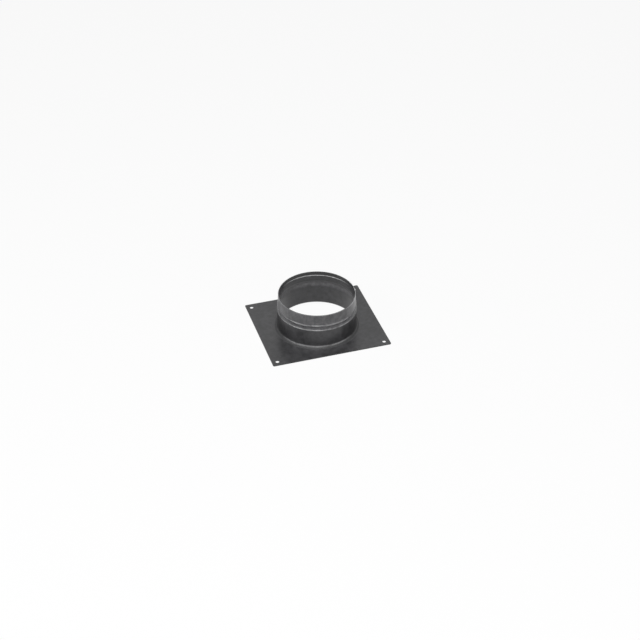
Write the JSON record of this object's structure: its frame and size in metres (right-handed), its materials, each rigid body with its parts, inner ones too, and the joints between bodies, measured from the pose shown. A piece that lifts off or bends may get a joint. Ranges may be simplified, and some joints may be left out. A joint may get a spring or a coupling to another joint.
{
  "type": "duct adapter",
  "caption": "Flat rectangular sheet-steel plate with corner screw holes and a round collar, with a shoulder and a stop bead, that takes a round duct.",
  "frame": {"origin": "middle of the plate's underside, which is the object's lowest face, on the collar's axis", "axes": "+Z along the collar's axis, out of its open end; X along the plate's long side"},
  "size_m": [0.16, 0.14, 0.051],
  "materials": {
    "painted_sheet": "satin dark grey paint"
  },
  "bodies": {
    "root": {"adapter_body": "painted_sheet"}
  },
  "joints": []
}
